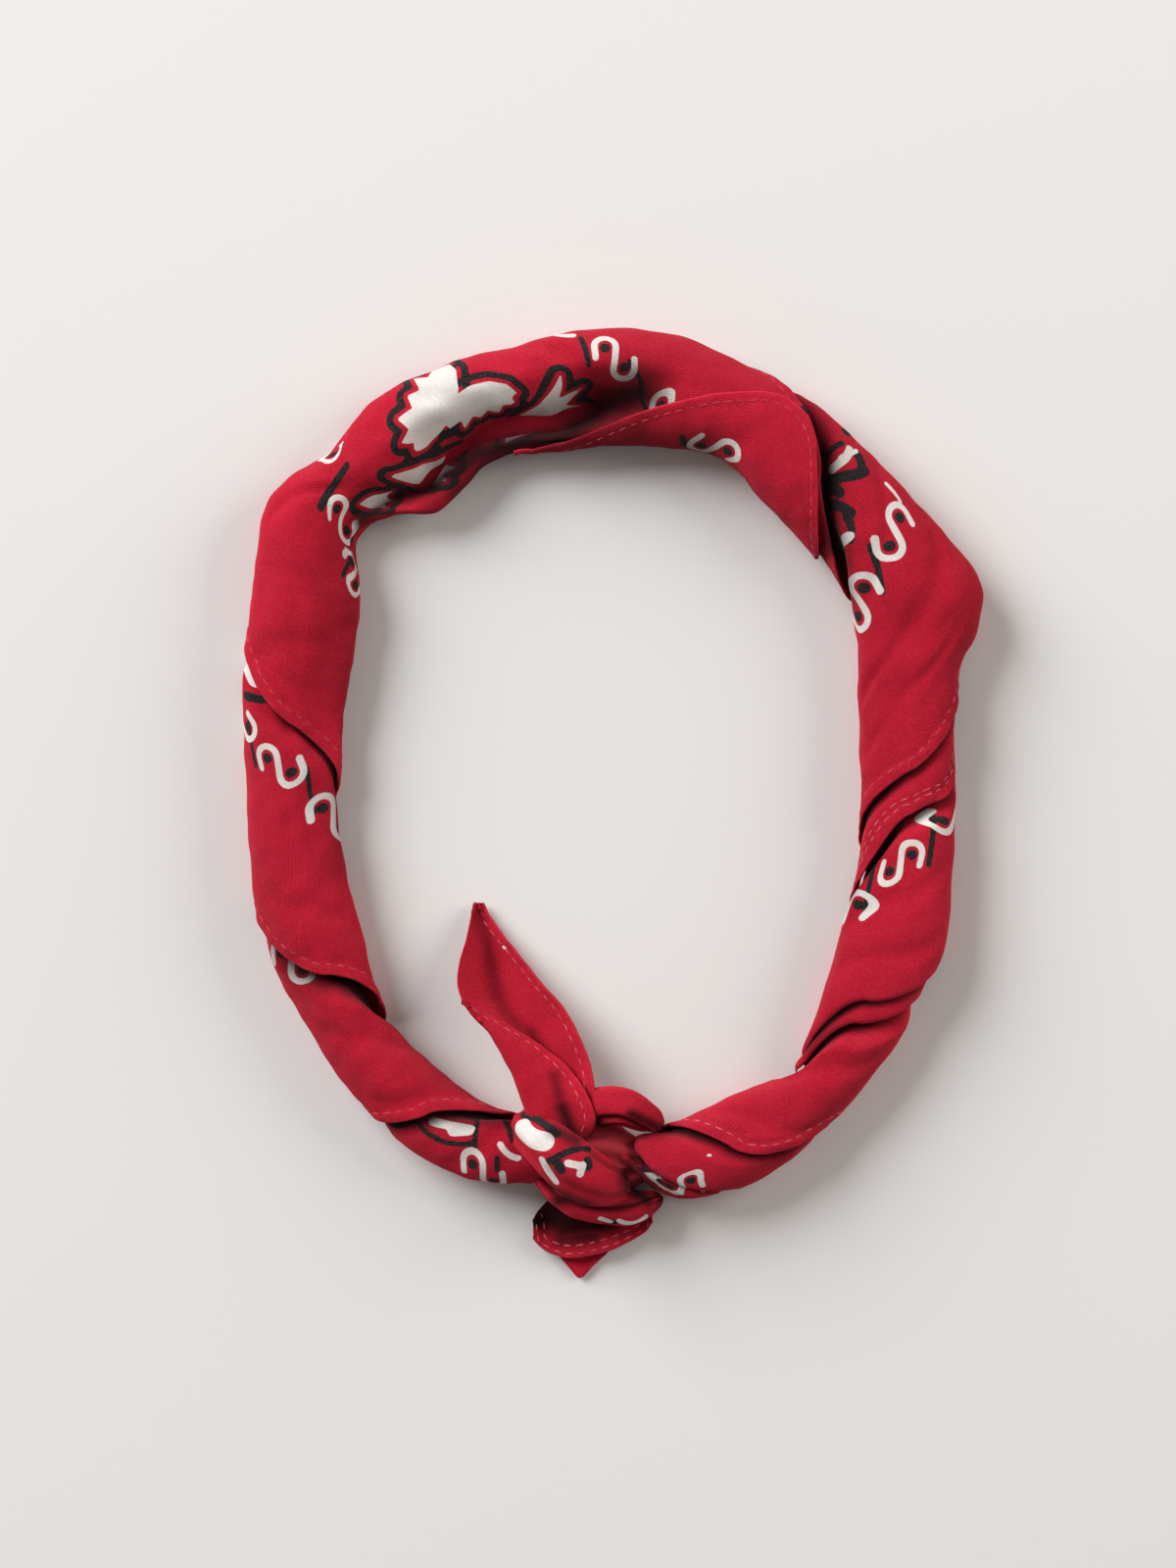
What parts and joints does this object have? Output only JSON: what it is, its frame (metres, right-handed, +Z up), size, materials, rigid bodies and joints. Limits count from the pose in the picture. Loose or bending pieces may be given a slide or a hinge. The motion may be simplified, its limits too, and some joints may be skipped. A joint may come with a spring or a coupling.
{
  "type": "bandana",
  "caption": "Printed cotton bandana rolled on its diagonal, knotted into an open oval ring and laid flat, with a long tail lying into the ring and a short tail outside it.",
  "frame": {"origin": "middle of the footprint, on the surface that the bandana lies on", "axes": "+Z up; the knot and its tails lie towards -Y, the middle of the rolled band towards +Y; +X to the right when the knot is nearest the viewer"},
  "size_m": [0.2038, 0.2624, 0.0238],
  "materials": {
    "cotton": "plain-weave cotton, matt, printed",
    "cotton_inside": "plain-weave cotton, matt, in the shade of the folds"
  },
  "bodies": {
    "root": {"crown": "cotton", "corner_flap": "cotton", "right_upper": "cotton", "right_strip": "cotton", "right_mid": "cotton", "right_curl": "cotton", "right_low": "cotton", "right_end": "cotton", "right_tip": "cotton", "left_mid": "cotton", "left_low": "cotton", "left_end": "cotton", "inner_roll": "cotton_inside", "knot_front_wrap": "cotton", "knot_lower_wrap": "cotton", "knot_back_loop": "cotton", "knot_core": "cotton_inside", "long_tail": "cotton", "long_tail_fold": "cotton", "short_tail": "cotton", "short_tail_under": "cotton"}
  },
  "joints": []
}
